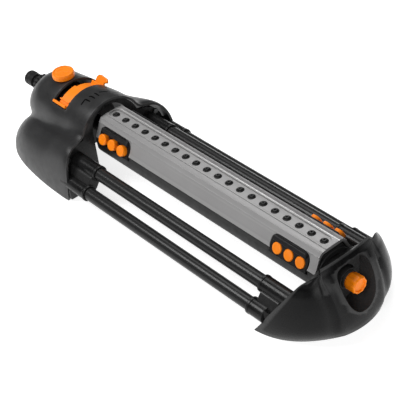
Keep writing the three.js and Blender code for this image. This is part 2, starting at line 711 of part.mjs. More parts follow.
const outputGear = gear(16, 9.9, 12.1, -139.6, -135.6, AXIS_Z, 0);
place('output_gear', outputGear.subtract(rodX(7.9, -142, -133, 0, AXIS_Z, 20)), NYLON);
const pinion = gear(6, 2.5, 5, -140, -135.2, PINION_Z, 0.5);
place('drive_pinion', pinion.add(rodX(1.3, -156, -133.4, 0, PINION_Z, 10)), NYLON);

const reduction = gear(24, 7.7, 8.9, -164, -160.5, REDUCTION_Z, 0);
place('reduction_gear', reduction.add(rodX(1.3, -170, -157.5, 0, REDUCTION_Z, 10)), NYLON);

function turbineShaft() {
  const rod = rodX(1.2, -186.4, -156, 0, AXIS_Z, 10);
  return rod.add(gear(8, 1.7, 2.8, -164.4, -160.1, AXIS_Z, 0.5));
}

place('turbine_shaft', turbineShaft(), STEEL);

function turbineWheel() {
  let body = rodX(4.4, -186, -178, 0, AXIS_Z, 16).add(rodX(15, -179.2, -178, 0, AXIS_Z, 24));
  for (let i = 0; i < 10; i += 1) {
    const vane = box(-186, -179, -0.6, 0.6, 4, 15).rotate([36 * i, 0, 0]).translate([0, 0, AXIS_Z]);
    body = body.add(vane);
  }
  return body.subtract(rodX(1.5, -195, -170, 0, AXIS_Z, 12));
}

place('turbine_wheel', turbineWheel(), NYLON);
place('neck_seal', pipeX(8.9, 7.9, MOTOR_X1 - 2.6, MOTOR_X1 - 0.4, 0, AXIS_Z, 20), RUBBER);

// ---- hose inlet ----
const nippleOutline = [
  [NIPPLE_TIP, 5], [NIPPLE_TIP, 6.8], [NIPPLE_TIP + 1.2, NIPPLE_R], [-238.4, NIPPLE_R], [-238.4, 6.2],
  [-235.6, 6.2], [-235.6, NIPPLE_R], [-229.5, NIPPLE_R], [-228.6, 6.3], [-223, 6.3], [-223, 8.6],
  [-221, 8.6], [-221, 7], [-191.2, 7], [-191.2, 5], [NIPPLE_TIP, 5],
];
place('inlet_nipple', turnedX(nippleOutline, 0, NIPPLE_Z, 24), BLACK);
place('nipple_seal', pipeX(NIPPLE_R + 0.2, 6.5, -238, -236, 0, NIPPLE_Z, 24), RUBBER);

function nippleNut() {
  let body = pipeX(10.8, 7.4, -220.6, -213.5, 0, NIPPLE_Z, 20);
  for (let i = 0; i < 10; i += 1) {
    const a = (2 * Math.PI * i) / 10;
    body = body.add(rodX(1.2, -220, -214, 10.7 * Math.cos(a), NIPPLE_Z + 10.7 * Math.sin(a), 8));
  }
  return body.subtract(rodX(7.4, -222, -212, 0, NIPPLE_Z, 20));
}

place('nipple_nut', nippleNut(), BLACK);

const filterOutline = [
  [-236, 0], [-236, 3.6], [-216, 4.4], [-216, 4.7], [-214.6, 4.7], [-214.6, 3.6], [-216, 3.5], [-234.6, 2.7],
  [-234.6, 0],
];
place('inlet_filter', turnedX(filterOutline, 0, NIPPLE_Z, 16), NYLON);

// ---- flow control knob and its valve stem ----
const knobOutline = [
  [77.5, 0], [77.5, 10.2], [78.2, KNOB_R], [81.2, KNOB_R], [82.6, 10], [KNOB_TOP, 8.6], [82.3, 7.6],
  [82.3, 0],
];
const stemSocket = turnedZ([[74, 0], [74, 3], [80, 3], [80, 0]], KNOB_X, 0, 12);
place('flow_knob', turnedZ(knobOutline, KNOB_X, 0, 28).subtract(stemSocket), ORANGE);
const stemOutline = [[50, 0], [50, 3], [58, 3.9], [72, 3.9], [72, 2.6], [79.6, 2.6], [79.6, 0]];
place('flow_valve_stem', turnedZ(stemOutline, KNOB_X, 0, 12), BLACK);

// ---- range rings: two sliding sectors that limit the swing ----
function ringLeft() {
  const band = arcBand(RING_R, RING_R - 1.1, -47, -2, RING_X0, RING_X1);
  const tab = arcBand(38, RING_R - 0.6, -46.6, -42.4, RING_X0, RING_X1 - 0.4, 3);
  const rail = arcBand(RING_R + 2.2, RING_R - 0.6, -37.2, -34.4, RING_X0, RING_X1 - 0.4, 2);
  return union([band, tab, rail]);
}

function ringRight() {
  const band = arcBand(RING_R - 1.7, RING_R - 2.7, -20, 48, RING_X0, RING_X1);
  const fin = arcBand(42, RING_R - 2.2, 40, 43.6, RING_X0, RING_X1 - 1, 3);
  const rail = arcBand(RING_R + 2.2, RING_R - 2.2, 33, 35.6, RING_X0, RING_X1 - 0.4, 2);
  return union([band, fin, rail]);
}

place('range_ring_left', ringLeft(), ORANGE);
place('range_ring_right', ringRight(), ORANGE);

// Saddle that carries both rings, fixed over the motor case.
const saddle = arcBand(RING_R - 3.2, 25.4, -100, 100, -152, -141, 24);
place('range_ring_rail', saddle, BLACK);

// ---- screws that hold the two brackets ----
function screw(x, y, z, reach) {
  const tip = x - reach;
  const outline = [[x + 2, 0], [x + 2, 2.8], [x + 0.3, 2.8], [x + 0.3, 1.6], [tip, 1.6], [tip - 1, 0]];
  return turnedX(outline, y, z, 10);
}

for (const [word, side] of [['left', -1], ['right', 1]]) {
  place(`housing_screw_${word}`, screw(PLATE_X + 3, side * SCREW_H[0], SCREW_H[1], 14), STEEL);
  const mirror = screw(-209, side * SCREW_F[0], SCREW_F[1], 12).mirror([1, 0, 0]);
  place(`foot_screw_${word}`, mirror, STEEL);
}

export default group;
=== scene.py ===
"""Oscillating lawn sprinkler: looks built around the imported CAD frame."""
import json
import math

import bpy
import bmesh
import numpy as np
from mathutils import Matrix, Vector


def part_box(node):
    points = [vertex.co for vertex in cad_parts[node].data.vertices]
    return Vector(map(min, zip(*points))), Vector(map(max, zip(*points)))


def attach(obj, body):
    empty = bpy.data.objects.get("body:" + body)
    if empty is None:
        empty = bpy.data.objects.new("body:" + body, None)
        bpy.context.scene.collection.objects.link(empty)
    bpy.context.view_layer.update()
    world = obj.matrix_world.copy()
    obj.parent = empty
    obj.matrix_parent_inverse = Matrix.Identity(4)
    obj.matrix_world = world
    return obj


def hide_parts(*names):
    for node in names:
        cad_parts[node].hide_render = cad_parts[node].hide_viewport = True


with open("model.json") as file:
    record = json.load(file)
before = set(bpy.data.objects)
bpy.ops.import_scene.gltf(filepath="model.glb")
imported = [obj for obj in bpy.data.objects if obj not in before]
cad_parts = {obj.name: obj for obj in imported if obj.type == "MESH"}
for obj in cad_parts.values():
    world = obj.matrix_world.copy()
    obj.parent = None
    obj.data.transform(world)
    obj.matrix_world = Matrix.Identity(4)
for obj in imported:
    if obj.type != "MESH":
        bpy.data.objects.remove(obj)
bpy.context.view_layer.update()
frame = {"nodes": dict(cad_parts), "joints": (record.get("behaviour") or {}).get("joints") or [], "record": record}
COLLECT = bpy.context.scene.collection
MM = 0.001
WHITE, BLACK = (1, 1, 1, 1), (0, 0, 0, 1)


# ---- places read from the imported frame, in millimetres ----
def node_box(node):
    """The lowest and highest corner of a CAD node."""
    return [[round(value / MM, 2) for value in corner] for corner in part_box(node)]


def node_centre(node):
    low, high = node_box(node)
    return [round((a + b) / 2, 2) for a, b in zip(low, high)]


def joint_place(name):
    """A point on a joint's axis."""
    joint = next(j for j in frame["joints"] if j["name"] == name)
    return [round(value / MM, 2) for value in joint["pos_m"]]


AXIS_Z = joint_place("bar_swing")[2]
KNOB_X = joint_place("flow_knob_turn")[0]
NIPPLE_Z = node_centre("inlet_nipple")[2]
BAR_X0, BAR_X1 = [corner[0] for corner in node_box("bar_cover")]
RING_X0, RING_X1 = [corner[0] for corner in node_box("range_ring_left")]
TUBES = {place: node_centre("support_tube_" + place)[1:]
         for place in ("inner_left", "inner_right", "outer_left", "outer_right")}

# ---- driving dimensions, in millimetres ----
WALL = 2.4
NOZZLES = 20
NOZZLE_PITCH = 15.0
NOZZLE_X0 = -87.5
# A sloping face of the bar runs from RIDGE to FACE_END, (y, z) points from the swing axis.
RIDGE, FACE_END = (14.4, 26.3), (22.8, 8.6)
# The plugs lie PLUG_U down the face from the ridge.
PLUG_U, PLUG_R, PLUG_PITCH = 16.6, 5.45, 14.1
BLOCK_LEN = 46.0
# How far the plugs of a block stand out at rest; the others are pushed in.
PULLED_OUT = {"motor_left": 3.5, "foot_right": 6.0}
BLOCKS = [(name, side, node_centre("shutoff_block_" + name)[0], PULLED_OUT.get(name, 0.0))
          for name, side in (("motor_left", -1), ("motor_right", 1), ("foot_left", -1), ("foot_right", 1))]
TUBE_R, TUBE_BORE = 6.65, 5.3
RING_R = 33.6
RAIL_R = RING_R + 2.2


# ---- small maths ----
def spline(table, count):
    """A smooth run of rows through a table of rows, count rows per gap."""
    pts = np.array(table, float)
    ext = np.vstack([2 * pts[0] - pts[1], pts, 2 * pts[-1] - pts[-2]])
    rows = []
    for i in range(1, len(ext) - 2):
        p0, p1, p2, p3 = ext[i - 1:i + 3]
        for k in range(count):
            t = k / count
            rows.append(0.5 * (2 * p1 + (p2 - p0) * t + (2 * p0 - 5 * p1 + 4 * p2 - p3) * t * t
                               + (3 * p1 - p0 - 3 * p2 + p3) * t ** 3))
    rows.append(pts[-1])
    return np.array(rows)


def relax(points, passes, closed=False):
    """Rounds the corners of a run of points, keeping its ends."""
    pts = np.array(points, float)
    for _ in range(passes):
        if closed:
            pts = 0.5 * pts + 0.25 * (np.roll(pts, 1, 0) + np.roll(pts, -1, 0))
        else:
            pts[1:-1] = 0.5 * pts[1:-1] + 0.25 * (pts[:-2] + pts[2:])
    return pts


def round_corners(points, radius, steps, closed=True):
    """Replaces each corner of an outline with a small arc-like curve."""
    pts = [np.array(p, float) for p in points]
    out = []
    n = len(pts)
    for i, p in enumerate(pts):
        if not closed and i in (0, n - 1):
            out.append(p)
            continue
        a, b = pts[i - 1] - p, pts[(i + 1) % n] - p
        la, lb = np.linalg.norm(a), np.linalg.norm(b)
        r = min(radius, la * 0.48, lb * 0.48)
        p0, p1 = p + a / la * r, p + b / lb * r
        for k in range(steps + 1):
            t = k / steps
            out.append((1 - t) ** 2 * p0 + 2 * t * (1 - t) * p + t * t * p1)
    return out


# ---- mesh helpers ----
def new_object(name, verts, faces):
    mesh = bpy.data.meshes.new(name)
    mesh.from_pydata([Vector(v) * MM for v in verts], [], faces)
    mesh.update()
    obj = bpy.data.objects.new(name, mesh)
    COLLECT.objects.link(obj)
    bm = bmesh.new()
    bm.from_mesh(mesh)
    bmesh.ops.remove_doubles(bm, verts=bm.verts, dist=1e-6)
    bmesh.ops.recalc_face_normals(bm, faces=bm.faces)
    bm.to_mesh(mesh)
    bm.free()
    return obj


def bake(obj):
    """Applies the modifiers to the mesh."""
    deps = bpy.context.evaluated_depsgraph_get()
    mesh = bpy.data.meshes.new_from_object(obj.evaluated_get(deps))
    obj.modifiers.clear()
    obj.data = mesh
    return obj


def bevel(obj, width, segments, angle=35):
    """Adds a bevel on the edges sharper than angle; bake applies it."""
    mod = obj.modifiers.new("edge", "BEVEL")
    mod.width = width * MM
    mod.segments = segments
    mod.limit_method = "ANGLE"
    mod.angle_limit = math.radians(angle)
    mod.use_clamp_overlap = True
    return obj


def cut(obj, *tools, operation="DIFFERENCE"):
    """Booleans obj with each tool and removes the tool."""
    for tool in tools:
        mod = obj.modifiers.new("cut", "BOOLEAN")
        mod.operation = operation
        mod.solver = "EXACT"
        mod.object = tool
        bake(obj)
        bpy.data.objects.remove(tool)
    return obj


def finish_mesh(obj, angle):
    """Smooth shading, with edges sharper than angle kept sharp."""
    bake(obj)
    obj.data.shade_smooth()
    obj.data.set_sharp_from_angle(angle=math.radians(angle))
    mod = obj.modifiers.new("normals", "WEIGHTED_NORMAL")
    mod.keep_sharp = True
    bake(obj)
    return obj


def piece(obj, material, body, replaces=(), angle=40):
    """Finishes an object and hands it to a body, in place of CAD nodes if it replaces any."""
    finish_mesh(obj, angle)
    obj.data.materials.clear()
    obj.data.materials.append(material)
    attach(obj, body)
    if replaces:
        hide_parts(*replaces)
    return obj


def surface(name, rows, closed_u=False, cap=False):
    """A mesh through rows of points, all of one length."""
    rows = [list(map(tuple, r)) for r in rows]
    n, m = len(rows), len(rows[0])
    verts = [p for r in rows for p in r]
    faces = []
    for i in range(n - 1):
        for j in range(m if closed_u else m - 1):
            k = (j + 1) % m
            faces.append((i * m + j, i * m + k, (i + 1) * m + k, (i + 1) * m + j))
    if cap:
        faces.append(tuple(range(m - 1, -1, -1)))
        faces.append(tuple((n - 1) * m + j for j in range(m)))
    return new_object(name, verts, faces)


def prism(name, outline, lo, hi):
    """An outline of (y, z) points swept straight along X."""
    return surface(name, [[(x, y, z) for y, z in outline] for x in (lo, hi)], True, True)


def upright(name, outline, lo, hi):
    """An outline of (x, y) points swept straight along Z."""
    return surface(name, [[(x, y, z) for x, y in outline] for z in (lo, hi)], True, True)


def lathe(name, profile, centre, direction=(1, 0, 0), steps=64):
    """A profile of (distance along the axis, radius) turned round the axis."""
    turn = Vector((0, 0, 1)).rotation_difference(Vector(direction)).to_matrix()
    rows = []
    for h, r in profile:
        row = []
        for k in range(steps):
            a = 2 * math.pi * k / steps
            p = turn @ Vector((r * math.cos(a), r * math.sin(a), h))
            row.append((p.x + centre[0], p.y + centre[1], p.z + centre[2]))
        rows.append(row)
    return surface(name, rows, True, False)


def join(name, objects):
    """One object from several, which are removed."""
    bm = bmesh.new()
    for obj in objects:
        bm.from_mesh(obj.data)
        bpy.data.objects.remove(obj)
    mesh = bpy.data.meshes.new(name)
    bm.to_mesh(mesh)
    bm.free()
    obj = bpy.data.objects.new(name, mesh)
    COLLECT.objects.link(obj)
    return obj


# ---- materials ----
def noise(nodes, link, coords, scale, detail):
    n = nodes.new("ShaderNodeTexNoise")
    n.inputs["Scale"].default_value = scale
    n.inputs["Detail"].default_value = detail
    link.new(coords, n.inputs["Vector"])
    return n.outputs["Fac"]


def ramp(nodes, link, value, stops):
    """A colour ramp between two stops."""
    r = nodes.new("ShaderNodeValToRGB")
    for element, (place, color) in zip(r.color_ramp.elements, stops):
        element.position = place
        element.color = color
    link.new(value, r.inputs["Fac"])
    return r.outputs["Color"]


def scaled(color, k):
    return (*(min(value * k, 1) for value in color), 1)


def grey(value):
    return (value, value, value, 1)


def moulded(name, color, rough, grain, grain_depth, vary=0.08, metal=0.0, rough_vary=0.06, edge=0.12,
            stretch=None, specular=0.35):
    """Moulded or painted surface: mottled colour, a painted highlight lightening convex edges, uneven gloss and a
    fine grain.
    """
    mat = bpy.data.materials.new(name)
    mat.use_nodes = True
    nodes, link = mat.node_tree.nodes, mat.node_tree.links
    bsdf = nodes["Principled BSDF"]
    bsdf.inputs["Metallic"].default_value = metal
    bsdf.inputs["Specular IOR Level"].default_value = specular
    coord = nodes.new("ShaderNodeTexCoord").outputs["Object"]
    fine = coord
    if stretch:
        mapping = nodes.new("ShaderNodeMapping")
        mapping.inputs["Scale"].default_value = stretch
        link.new(coord, mapping.inputs["Vector"])
        fine = mapping.outputs["Vector"]
    cloud = noise(nodes, link, coord, 38, 4)
    base = ramp(nodes, link, cloud, [(0.3, scaled(color, 1 - vary)), (0.7, scaled(color, 1 + vary))])
    point = nodes.new("ShaderNodeNewGeometry").outputs["Pointiness"]
    # Painted highlight: convex edges (high pointiness) get a lighter colour added, by the edge amount, as if lit
    # along the edge.
    painted_edge_highlight = ramp(nodes, link, point, [(0.5, BLACK), (0.6, grey(edge))])
    mix = nodes.new("ShaderNodeMixRGB")
    mix.blend_type = "ADD"
    mix.inputs["Fac"].default_value = 0.35
    link.new(base, mix.inputs["Color1"])
    link.new(painted_edge_highlight, mix.inputs["Color2"])
    link.new(mix.outputs["Color"], bsdf.inputs["Base Color"])
    patch = noise(nodes, link, fine, 160, 3)
    lo, hi = max(rough - rough_vary, 0.02), rough + rough_vary
    gloss = ramp(nodes, link, patch, [(0.3, grey(lo)), (0.7, grey(hi))])
    link.new(gloss, bsdf.inputs["Roughness"])
    bump = nodes.new("ShaderNodeBump")
    bump.inputs["Strength"].default_value = 0.6
    bump.inputs["Distance"].default_value = grain_depth
    link.new(noise(nodes, link, fine, grain, 2), bump.inputs["Height"])
    link.new(bump.outputs["Normal"], bsdf.inputs["Normal"])
    return mat


# Each material's edge value sets how strongly its convex edges are lightened by the painted edge highlight.
MAT_HOUSING = moulded("housing_plastic", (0.017, 0.017, 0.0175), 0.36, 2400, 0.000012, specular=0.24)
MAT_FOOT = moulded("foot_plastic", (0.003, 0.003, 0.0032), 0.27, 2400, 0.000004, specular=0.14)
MAT_BLACK = moulded("black_plastic", (0.002, 0.002, 0.0022), 0.4, 2400, 0.00002, specular=0.12)
MAT_BLOCK = moulded("block_plastic", (0.004, 0.004, 0.0043), 0.3, 2400, 0.00001, edge=0.06,
                     specular=0.12)
MAT_TUBE = moulded("tube_coating", (0.003, 0.003, 0.0032), 0.26, 1500, 0.000002, rough_vary=0.01,
                    edge=0.04, specular=0.16)
MAT_ORANGE = moulded("orange_plastic", (1.0, 0.24, 0.002), 0.38, 2600, 0.00001, vary=0.05, edge=0.04,
                     specular=0.25)
MAT_SILVER = moulded("silver_finish", (0.28, 0.276, 0.276), 0.4, 900, 0.00001, vary=0.03, metal=0.4,
                     stretch=(0.05, 1, 1), edge=0.15)
MAT_RUBBER = moulded("nozzle_rubber", (0.002, 0.002, 0.002), 0.4, 3000, 0.00003, specular=0.25)
# Near-black for the hood's engraved marks: painted shade, standing in for the shadow inside the engraving.
MAT_MARK_SHADE = moulded("mark_painted_shade", (0.001, 0.001, 0.001), 0.6, 2600, 0.00001, edge=0, specular=0.03)
MAT_STEEL = moulded("blackened_steel", (0.06, 0.06, 0.06), 0.35, 1800, 0.00001, metal=1.0)
MAT_NYLON = moulded("white_nylon", (0.72, 0.7, 0.62), 0.5, 2000, 0.00002)

SLOT_MATERIAL = {"satin_grey_plastic": MAT_HOUSING, "charcoal_plastic": MAT_FOOT, "tube_coating": MAT_TUBE,
                 "silver_paint": MAT_SILVER, "orange_plastic": MAT_ORANGE, "black_rubber": MAT_RUBBER,
                 "bright_steel": MAT_STEEL, "white_nylon": MAT_NYLON, "black_plastic": MAT_BLACK}
for part in frame["record"]["subparts"]:
    node = frame["nodes"][part["node"]]
    node.data.materials.clear()
    node.data.materials.append(SLOT_MATERIAL[part["material_slot"]])

# ---- camera, light and floor ----
# The camera stands where a pinhole fitted to points in the photo puts it.
CAMERA_PLACE, CAMERA_TARGET, CAMERA_ROLL = (0.8089, -0.5673, 0.7806), (0.046, -0.0066, 0.03), -7.81


def aim(obj, place, target):
    """Puts obj at place and turns its -Z axis to target, both in metres."""
    obj.location = place
    obj.rotation_euler = (Vector(target) - Vector(place)).to_track_quat("-Z", "Y").to_euler()


cam = bpy.data.cameras.new("camera")
cam.lens = 114.33
cam.sensor_width = 36
cam.clip_end = 20
eye = bpy.data.objects.new("camera", cam)
COLLECT.objects.link(eye)
aim(eye, CAMERA_PLACE, CAMERA_TARGET)
eye.rotation_euler.rotate_axis("Z", math.radians(CAMERA_ROLL))
bpy.context.scene.camera = eye


def area_light(name, spot, target, size, power):
    light = bpy.data.lights.new(name, "AREA")
    light.energy = power
    light.size = size
    obj = bpy.data.objects.new(name, light)
    aim(obj, spot, target)
    COLLECT.objects.link(obj)


area_light("left_softbox", (-0.8, -0.7, 1.3), (0, 0, 0.03), 0.6, 18)
area_light("back_softbox", (-0.6, 0.6, 1.3), (0, 0, 0.03), 0.8, 8)
area_light("front_softbox", (1.5, -0.3, 0.4), (0.2, 0, 0.03), 0.6, 4)
area_light("near_softbox", (0.7, -1.1, 1.1), (0.2, 0, 0.02), 0.45, 5)
world = bpy.data.worlds.new("studio")
world.use_nodes = True
sky, sky_links = world.node_tree.nodes, world.node_tree.links
sky["Background"].inputs["Color"].default_value = WHITE
# The backdrop is pale to look at, but lights the object only dimly.
sky_range = sky.new("ShaderNodeMapRange")
sky_range.inputs["To Min"].default_value = 0.12
sky_range.inputs["To Max"].default_value = 0.95
sky_links.new(sky.new("ShaderNodeLightPath").outputs["Is Camera Ray"], sky_range.inputs["Value"])
sky_links.new(sky_range.outputs["Result"], sky["Background"].inputs["Strength"])
bpy.context.scene.world = world
bpy.context.scene.view_settings.view_transform = "Standard"

FLOOR_HALF = 4000
FLOOR_CORNERS = [(sx * FLOOR_HALF, sy * FLOOR_HALF, 0) for sx, sy in ((-1, -1), (1, -1), (1, 1), (-1, 1))]
floor = new_object("floor", FLOOR_CORNERS, [(0, 1, 2, 3)])
floor.location.z = -0.4 * MM
floor_mat = bpy.data.materials.new("pale_floor")
floor_mat.use_nodes = True
floor_look = floor_mat.node_tree.nodes["Principled BSDF"].inputs
floor_look["Base Color"].default_value = grey(0.6)
floor_look["Roughness"].default_value = 0.8
floor_look["Specular IOR Level"].default_value = 0.2
floor_look["Emission Color"].default_value = WHITE
floor_look["Emission Strength"].default_value = 0.8
floor.data.materials.append(floor_mat)

# ---- housing: hood over the motor with two fender wings ----
# Columns: station x, wing half width, crease height, squareness, hood radius, hood centre height.
HOUSING = [
    (-225.2, 14, 2, 1, 6, 5), (-223, 30, 6, 1, 12, 12), (-219, 40, 16, 1, 19, 23), (-212, 50, 25, 1, 24, 34),
    (-202, 56.5, 31, 1, 29, 39.5), (-190, 60.8, 35, 1, 32.4, 41.5), (-176, 64.2, 38.5, 1, 33.9, 42),
    (-158, 66.9, 42.5, 1, 35.6, 42), (-137, 69, 46.4, 0.95, 36, 42), (-120, 69.8, 50, 0.85, 37.6, 42),
    (-101, 70, 53, 0.72, 38.2, 42), (-92.5, 69.6, 53, 0.68, 38.2, 42)]
# The end towards the foot: its x against the angle up the wing, in degrees.
FRONT_EDGE = [(0, -92.5), (30.3, -90), (48.7, -91.5), (65.3, -95), (77.5, -97.5), (90, -99.5)]
LEAN_START = -125       # x where the sections begin to lean towards that edge
WING_POINTS, HOOD_POINTS = 19, 15


def housing_half(row):
    """One side of a section, from the ground over the wing and up the hood to its top."""
    x, width, height, square, radius, centre = row
    crease = radius + 0.6
    pts = []
    for i in range(WING_POINTS):
        a = math.pi / 2 * i / (WING_POINTS - 0.4)
        pts.append((crease + (width - crease) * math.cos(a) ** square,
                    height * math.sin(a) ** (0.45 + 0.55 * square)))
    start = math.asin(max(-0.9, min(0.9, (height + 1 - centre) / radius)))
    for i in range(HOOD_POINTS):
        a = start + (math.pi / 2 - start) * i / (HOOD_POINTS - 1)
        pts.append((radius * math.cos(a), centre + radius * math.sin(a)))
    pts = np.array(pts)
    seam = slice(WING_POINTS - 4, WING_POINTS + 4)
    pts[seam] = relax(pts[seam], 2)
    return pts


def housing_rows():
    rows = []
    last_x = HOUSING[-1][0]
    last = housing_half(HOUSING[-1])
    up_wing = np.degrees(np.arctan2(last[:, 1], np.maximum(np.abs(last[:, 0]) - 37.5, 0.01)))
    lean = np.interp(up_wing, [a for a, _ in FRONT_EDGE], [x for _, x in FRONT_EDGE]) - last_x
    for row in spline(HOUSING, 5):
        half = housing_half(row)
        t = min(max((row[0] - LEAN_START) / (last_x - LEAN_START), 0), 1)
        xs = row[0] + lean * t * t * (3 - 2 * t)
        near = [(x, y, z) for x, (y, z) in zip(xs, half)]
        far = [(x, -y, z) for x, y, z in reversed(near[:-1])]
        rows.append(near + far)
    return rows


def arc_outline(outer, inner, lo, hi, steps):
    """Ring segment in (y, z) about the swing axis; degrees from straight up towards +Y."""
    pts = []
    for r, angles in ((outer, np.linspace(lo, hi, steps)), (inner, np.linspace(hi, lo, steps))):
        for a in np.radians(angles):
            pts.append((r * math.sin(a), AXIS_Z + r * math.cos(a)))
    return pts


def hood_point(x, angle, radius):
    a = math.radians(angle)
    return (x, radius * math.sin(a), AXIS_Z + radius * math.cos(a))


def hood_radius(x):
    return float(np.interp(x, [row[0] for row in HOUSING], [row[4] for row in HOUSING]))


MARK_WIDTH, MARK_PROUD, MARK_SUNK, MARK_STEPS = 1.4, 0.2, 1.0, 6


def hood_stroke(x0, a0, x1, a1):
    """A short bar that follows the hood's surface from one (x, angle) point to another."""
    rows = []
    start, end = Vector(hood_point(x0, a0, hood_radius(x0))), Vector(hood_point(x1, a1, hood_radius(x1)))
    for i in range(MARK_STEPS + 1):
        x, a = x0 + (x1 - x0) * i / MARK_STEPS, a0 + (a1 - a0) * i / MARK_STEPS
        out = Vector((0, math.sin(math.radians(a)), math.cos(math.radians(a))))
        top = Vector(hood_point(x, a, hood_radius(x) + MARK_PROUD))
        side = (end - start).cross(out).normalized() * MARK_WIDTH / 2
        low = out * (MARK_PROUD + MARK_SUNK)
        rows.append([tuple(top + side - low), tuple(top - side - low), tuple(top - side), tuple(top + side)])
    return surface("stroke", rows, True, True)


def shell(name, rows, core, cap=True):
    """A wall through rows of points, thickened inwards and closed over the first row if cap is true."""
    obj = surface(name, rows)
    if cap:
        bm = bmesh.new()
        bm.from_mesh(obj.data)
        bm.verts.ensure_lookup_table()
        ring = [min(bm.verts, key=lambda v, p=Vector(p) * MM: (v.co - p).length) for p in rows[0]]
        seen = []
        for v in ring:
            if v not in seen:
                seen.append(v)
        bm.faces.new(seen)
        bm.to_mesh(obj.data)
        bm.free()
    point_out(obj, core)
    mod = obj.modifiers.new("wall", "SOLIDIFY")
    mod.thickness = WALL * MM
    mod.offset = -1
    return bake(obj)


def point_out(obj, core):
    """Turns the faces away from a point inside."""
    bm = bmesh.new()
    bm.from_mesh(obj.data)
    bmesh.ops.recalc_face_normals(bm, faces=bm.faces)
    core = Vector(core) * MM
    total = sum(f.normal.dot(f.calc_center_median() - core) * f.calc_area() for f in bm.faces)
    if total < 0:
        bmesh.ops.reverse_faces(bm, faces=bm.faces)
    bm.to_mesh(obj.data)
    bm.free()


housing = shell("housing_hood", housing_rows(), (-150, 0, 20))
SLOT_REACH = 80
slot_fan = [(0, AXIS_Z)] + [(SLOT_REACH * math.sin(a), AXIS_Z + SLOT_REACH * math.cos(a))
                            for a in np.radians(np.linspace(-48.5, 50, 24))]
slot_cut = bake(bevel(prism("slot_cut", slot_fan, -158.5, -136.2), 1.2, 3, 50))
inlet_cut = lathe("inlet_cut", [(-230, 0), (-230, 12.4), (-203, 12.4), (-203, 0)], (0, 0, NIPPLE_Z))
cut(housing, slot_cut, inlet_cut)
bevel(housing, 0.6, 2, 40)
piece(housing, MAT_HOUSING, "frame", ["housing_shell"], 32)

# The hood's engraved marks, drawn as near-black bars whose black is painted shade for the shadow inside the
# engraving: four bent lines, each through three (x, angle) points.
MARKS = [[(-119.5, -28.5), (-120.5, -17.5), (-113, -17)], [(-120, -10.5), (-118, -8.5), (-112, -8.5)],
         [(-119.5, -1), (-117.5, 0), (-112, -0.5)], [(-117.5, 6), (-116.5, 8.5), (-114, 18)]]
marks = [hood_stroke(*line[i], *line[i + 1]) for line in MARKS for i in (0, 1)]
piece(join("hood_marks_painted_shade", marks), MAT_MARK_SHADE, "frame")

# ---- bracket in the housing: arched plate, four tube sockets, two ledges and two webs ----
def socket(name, y, z, mouth, root):
    """A tube socket with a thicker rim at its mouth; open towards the mouth."""
    s = 1 if mouth > root else -1
    bore = TUBE_R + 0.1
    floor_x = root + s * 4
    profile = [(root, 0.2), (root, 8), (mouth - s * 3.2, 8), (mouth - s * 2.6, 8.35), (mouth, 8.35),
               (mouth, bore), (floor_x, bore), (floor_x, 0.2)]
    return lathe(name, round_corners(profile, 0.5, 3, False), (0, y, z), steps=48)


def webs(x0, x1):
    """The two webs that join an inner and an outer socket."""
    outline = [(46, 24), (51, 17), (60, 19), (60, 26), (55, 33), (47, 34)]
    made = []
    for s in (-1, 1):
        web = prism("web", round_corners([(s * y, z) for y, z in outline], 1.5, 3), x0, x1)
        made.append(bake(bevel(web, 0.8, 2, 40)))
    return made


plate = [(21.5, 8), (62.5, 8), (65.5, 20), (61, 33), (54, 42), (44, 47.5), (34.6, 49.5)]
plate += [(35.2 * math.cos(a), AXIS_Z + 35.2 * math.sin(a)) for a in np.radians(np.linspace(12, 88, 20))]
plate += [(-y, z) for y, z in reversed(plate)]
plate += [(21.5 * math.cos(a), AXIS_Z + 10 + 21.5 * math.sin(a)) for a in np.radians(np.linspace(180, 0, 40))]
plate_obj = prism("bracket_plate", plate, -104.5, -101.5)
bevel(plate_obj, 0.8, 3, 40)
bake(plate_obj)
sockets = [socket("socket_" + k, y, z, -64, -102) for k, (y, z) in TUBES.items()]
ledges = []
ledge_outline = [(55, 2), (68, 2), (68.4, 12), (66, 22), (55, 24)]
for s in (-1, 1):
    ledge = prism("ledge", [(s * y, z) for y, z in ledge_outline], -101.5, -88)
    ledges.append(bake(bevel(ledge, 0.8, 2, 40)))
bracket = join("housing_bracket", [plate_obj] + sockets + ledges + webs(-101.5, -66))
piece(bracket, MAT_FOOT, "frame", ["housing_tube_bracket"], 35)

# ---- support tubes ----
for key, (y, z) in TUBES.items():
    end = 183 if "outer" in key else 199
    start = -91.6 if "outer" in key else -97.6
    profile = [(start, TUBE_BORE), (start, TUBE_R), (end, TUBE_R), (end, TUBE_BORE), (start, TUBE_BORE)]
    tube = lathe("tube_" + key, profile, (0, y, z), steps=64)
    piece(tube, MAT_TUBE, "frame", ["support_tube_" + key])

# ---- foot: leaning face with a pocket and two swept wings ----
# Columns: height, wing edge x and y, crease x and y, face centre x.
FOOT = [
    (0, 176.3, 68.8, 238.6, 21.5, 242.2), (12, 184.8, 67.2, 241.2, 25.2, 243),
    (24, 192.2, 64.4, 240.0, 26, 242.8), (34, 198.6, 60.8, 237.4, 27, 240.9),
    (43, 204.4, 56.8, 233.6, 28, 238.4), (50, 208.6, 53, 230, 28.7, 235.4),
    (55, 211.4, 48.4, 227, 29.1, 232.2), (59, 214.2, 44.6, 224.7, 29.3, 229.3),
    (62, 217.6, 39, 223.4, 29.2, 226.9), (65, 221.4, 31.6, 222.7, 29, 224.8),
    (68.4, 221.6, 29, 222, 28.6, 222.6)]


FOOT_STEPS, FACE_STEPS = 24, 8
WING_BOW, FENDER_BOW, FENDER_TOP = 0.155, 0.035, 56
GROOVE_DEPTH, GROOVE_AT, GROOVE_WIDTH, GROOVE_TOP, GROOVE_FADE = 2.2, 0.92, 0.06, 66, 12


